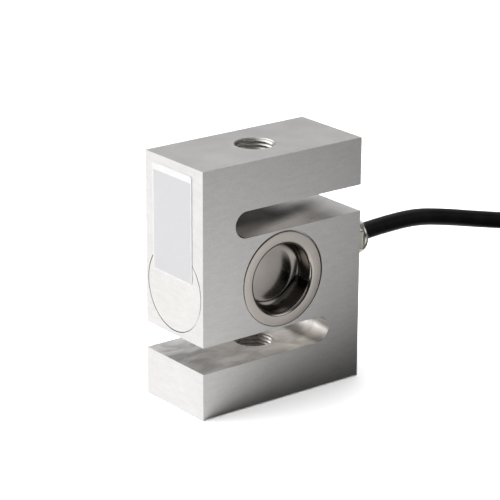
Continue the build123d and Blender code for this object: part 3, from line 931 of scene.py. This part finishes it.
def shrink_sleeve(material):
    """Sleeve shrunk over the jacket's end, with soft shoulders, closed where the cores come out."""
    base = Vector((sleeve_high.x, SLEEVE_MIDDLE.y, (sleeve_high.z - sleeve_low.z) / 2))
    rings = [(along * MM, radius * MM) for along, radius in SLEEVE_RINGS]
    sleeve = turned_form("sleeve_shrunk", base, -RIGHT, rings, sides=64)
    stand_in(finished(sleeve, material, 50), "jacket_sleeve")
    return sleeve


def lead_points(index):
    """Line of a stripped core, out of the sleeve and fanned out on the floor, in metres."""
    turn = 1.1 * pi - 2 * pi * index / len(LEAD_PLACES)
    y = SLEEVE_MIDDLE.y + LEAD_CIRCLE * cos(turn)
    z = SLEEVE_MIDDLE.z + LEAD_CIRCLE * sin(turn)
    far_y = SLEEVE_MIDDLE.y + LEAD_PLACES[index] * LEAD_FAN
    start = sleeve_low.x
    return [
        Vector((start + LEAD_INSET, y, z)),
        Vector((start - LEAD_STRAIGHT, y, z)),
        Vector((start - LEAD_SPLAY, far_y, LEAD_RADIUS)),
        Vector((start - LEAD_REACH, far_y, LEAD_RADIUS)),
    ]


def stripped_core(colour, index, material):
    """Insulated core out of the sleeve."""
    core = rod("core_" + colour, lead_points(index), 2 * LEAD_RADIUS, material)
    stand_in(core, "lead_" + colour)
    return core


def strands(name, node, points, count, reach, pitch, material):
    """Bare strands twisted round a smooth line."""
    guide = smooth_lines("guide", [points], 0, 24, 0)
    mesh = bpy.data.meshes.new_from_object(guide)
    line = [corner.co.copy() for corner in mesh.vertices]
    bpy.data.objects.remove(guide, do_unlink=True)
    lines = [[] for strand in range(count)]
    gone = 0
    for place, here in enumerate(line):
        before, after = line[max(place - 1, 0)], line[min(place + 1, len(line) - 1)]
        ahead = (after - before).normalized()
        gone += (here - before).length
        side = ahead.cross(UP).normalized()
        for strand, twisted in enumerate(lines):
            angle = 2 * pi * (gone / pitch + strand / count)
            offset = side * cos(angle) + side.cross(ahead) * sin(angle)
            twisted.append(here + offset * reach / 2)
    piece = smooth_lines(name, lines, reach, 12, 3)
    dress(piece, material)
    stand_in(piece, node)
    return piece


# Studio

def photograph_camera():
    """Camera at the photograph's place and angle."""
    azimuth, elevation, roll = (radians(angle) for angle in (CAMERA_AZIMUTH, CAMERA_ELEVATION, CAMERA_ROLL))
    back = Vector((sin(azimuth) * cos(elevation), -cos(azimuth) * cos(elevation), sin(elevation)))
    level = (-back).cross(UP).normalized()
    upright = level.cross(-back)
    right = level * cos(roll) + upright * sin(roll)
    up = upright * cos(roll) - level * sin(roll)
    camera = bpy.data.objects.new("camera", bpy.data.cameras.new("camera"))
    camera.data.lens = CAMERA_LENS
    camera.data.sensor_width = 36
    camera.data.clip_start = 0.01
    camera.matrix_world = Matrix((
        (right.x, up.x, back.x, CAMERA_PLACE[0]),
        (right.y, up.y, back.y, CAMERA_PLACE[1]),
        (right.z, up.z, back.z, CAMERA_PLACE[2]),
        (0, 0, 0, 1),
    ))
    bpy.context.scene.collection.objects.link(camera)
    bpy.context.scene.camera = camera


def pale_floor():
    """Plain pale floor, wide enough for any view."""
    bpy.ops.object.select_all(action="DESELECT")
    bpy.ops.mesh.primitive_plane_add(size=8)
    floor = added("floor")
    paper = Finish("pale_paper", Specular_IOR_Level=0.2)
    grain = paper.noise(paper.place(), 40.0)
    paper.paint(Base_Color=paper.blend(grain, (0.90, 0.90, 0.90), (0.92, 0.92, 0.92)), Roughness=0.9)
    dress(floor, paper.material)


def reflected_table():
    """Card over the floor that only polished faces see: the table's light and shade round the block."""
    bpy.ops.object.select_all(action="DESELECT")
    bpy.ops.mesh.primitive_plane_add(size=2.4, location=UP * 0.3 * MM)
    card = added("card")
    table = Finish("table_light")
    x, y = table.parts(table.place(centre=(block_low.x, block_low.y, 0)))[:2]
    turn = table.node("ShaderNodeMath", {"operation": "ARCTAN2"}, y, x)
    reach = (x * x + y * y) ** 0.5
    level = table.ramp(table.range(turn, -pi, pi, 0.0, 1.0), *CARD_LEVELS)
    dimmed = table.ramp(table.range(reach, 0.0, 0.3, 0.0, 1.0), *CARD_REACH)
    right = table.range(x, -0.02, 0.05, 0.0, 1.0)
    behind = right * table.range(y, 0.03, 0.06, 0.0, 1.0)
    tone = (1 - right * (1 - dimmed)) * (1 - behind * table.range(reach, 0.09, 0.20, 0.0, 0.75))
    under_gland = table.range(x, 0.052, 0.056, 0.0, 0.9) * table.range(y, 0.002, 0.006, 0.0, 1.0)
    light = table.node("ShaderNodeMath", {"operation": "MAXIMUM"}, level * tone, under_gland)
    glow = table.node("ShaderNodeEmission", {}, light, CARD_GLOW)
    table.join(glow, table.nodes["Material Output"].inputs["Surface"])
    dress(card, table.material)
    card.visible_camera = card.visible_diffuse = card.visible_shadow = False


def surroundings():
    """Studio walls: bright overhead, dim near the horizon and in front, with two soft windows."""
    world = bpy.data.worlds.new("studio")
    bpy.context.scene.world = world
    walls = Shading(world)
    x, y, z = walls.parts(walls.node("ShaderNodeTexCoord", {}, output="Generated"))
    overhead = walls.ramp(z, *WALL_LEVELS) * walls.range(y - 0.2 * x, -0.25, 0.35, WALL_FRONT, 1.0)
    left_window = walls.range(0.76 * y - 0.60 * x + 0.25 * z, 0.75, 0.95, 0.0, WALL_WINDOW)
    front_window = walls.range(0.60 * x - 0.655 * y + 0.46 * z, 0.93, 0.985, 0.0, FRONT_WINDOW)
    walls.join(overhead + left_window + front_window, walls.nodes["Background"].inputs["Color"])
    walls.join(WALL_GLOW, walls.nodes["Background"].inputs["Strength"])


def soft_light(name, place, aim, size, watts):
    """Large soft lamp, which the polished faces don't show."""
    lamp = bpy.data.lights.new(name, "AREA")
    lamp.shape = "RECTANGLE"
    lamp.size, lamp.size_y = size
    lamp.energy = watts
    holder = bpy.data.objects.new(name, lamp)
    holder.location = place
    holder.rotation_euler = (Vector(aim) - Vector(place)).to_track_quat("-Z", "Y").to_euler()
    holder.visible_glossy = False
    bpy.context.scene.collection.objects.link(holder)


photograph_camera()
pale_floor()
reflected_table()
surroundings()
soft_light("side_lamp", (-0.75, 0.35, 0.55), (0, 0, 0.03), (0.7, 0.7), 2.2)
soft_light("top_lamp", (0.0, 0.1, 1.2), (0, 0, 0), (1.0, 1.0), 15)
soft_light("front_lamp", (0.3, -0.8, 0.9), (0.05, 0, 0), (0.8, 0.8), 4)

# Finishes of the pieces
# Slots: the upper one's painted shade colour, the lower one's deep colour, then their roughness
body_nickel = satin_nickel(
    "body_satin_nickel", (0.66, 0.645, 0.635), 0.40,
    slots=((0.35, 0.325, 0.30), (0.66, 0.64, 0.615), 0.17),
)
cover_nickel = satin_nickel("cover_satin_nickel", (0.66, 0.65, 0.635), 0.38)
thread_steel = satin_nickel("thread_cut_steel", (0.60, 0.58, 0.55), 0.24, 3200.0)
cup_steel = drawn_steel("cup_steel", (0.475, 0.44, 0.405), 0.17, (0, 0, WEB_MIDDLE))
gland_plate = bright_nickel("gland_bright_nickel", (0.76, 0.73, 0.66), 0.22)
jacket_black = dull_skin("jacket_black", (0.003, 0.003, 0.0031), 0.40, Specular_IOR_Level=0.08)
tie_black = dull_skin("tie_nylon_black", (0.012, 0.012, 0.012), 0.42, 2400.0)
sleeve_black = dull_skin("sleeve_black", (0.014, 0.014, 0.015), 0.46)
seal_black = dull_skin("seal_rubber_black", (0.02, 0.02, 0.02), 0.6)
core_finishes = {
    "red": insulation("core_red", (0.6, 0.04, 0.03)),
    "black": insulation("core_black", (0.03, 0.03, 0.03)),
    "green": insulation("core_green", (0.04, 0.32, 0.1)),
    "white": insulation("core_white", (0.8, 0.8, 0.77)),
}
tin = bare_metal("bright_tin", (0.62, 0.61, 0.6), (0.84, 0.84, 0.85), 0.24)
enamelled_copper = bare_metal("enamelled_copper", (0.36, 0.15, 0.06), (0.62, 0.3, 0.14), 0.3)
tab_copper = bare_metal("tab_copper", (0.5, 0.26, 0.15), (0.78, 0.46, 0.3), 0.32)

# Cable, its ties and its stripped end
cable = signal_cable(jacket_black)
on_cable = [cable_tie(node, angle, tie_black) for node, angle in TIE_ANGLES.items()]
on_cable.append(shrink_sleeve(sleeve_black))
for index, colour in enumerate(core_finishes):
    on_cable.append(stripped_core(colour, index, core_finishes[colour]))
    end = lead_points(index)[-1]
    reach = [end + RIGHT * step for step in (LEAD_INSET, 0, -TINNED_LENGTH / 2, -TINNED_LENGTH)]
    on_cable.append(strands("tinned_" + colour, "tinned_end_" + colour, reach, 3, 0.4 * MM, 3 * MM, tin))
on_cable.append(strands("drain_strands", "shield_drain", lead_points(4), 4, 0.6 * MM, 5 * MM, tin))

# Block, cups, threads and gland
beam_block(body_nickel)
seal_cup("front_seal_cup", -1, cup_steel)
seal_cup("rear_seal_cup", 1, cup_steel)
thread_ridges("upper_thread_ridges", block_high.z - ARM + 0.85 * MM, thread_steel)
thread_ridges("lower_thread_ridges", 0.7 * MM, thread_steel)
gland_body(gland_plate)
gland_nut(gland_plate)

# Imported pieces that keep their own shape
kept = {
    "side_cover": cover_nickel,
    "blank_label": label_foil("label_foil"),
    "gland_washer": seal_black,
    "gland_seal": seal_black,
    "cable_inner_end": jacket_black,
    "trim_board": board_lacquer("board_lacquer"),
    "trim_resistors": chip_ceramic("chip_ceramic"),
    "solder_joints": tin,
    "gauge_jumpers": enamelled_copper,
    "bridge_leads": enamelled_copper,
    "solder_tab_1": tab_copper,
    "solder_tab_2": tab_copper,
}
film = gauge_film("gauge_film")
kept.update({f"strain_gauge_{number}": film for number in range(1, 5)})
kept.update({"inner_core_" + colour: finish for colour, finish in core_finishes.items()})
for node, finish in kept.items():
    dress(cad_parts[node], finish)

bpy.context.scene.view_settings.view_transform = "Standard"
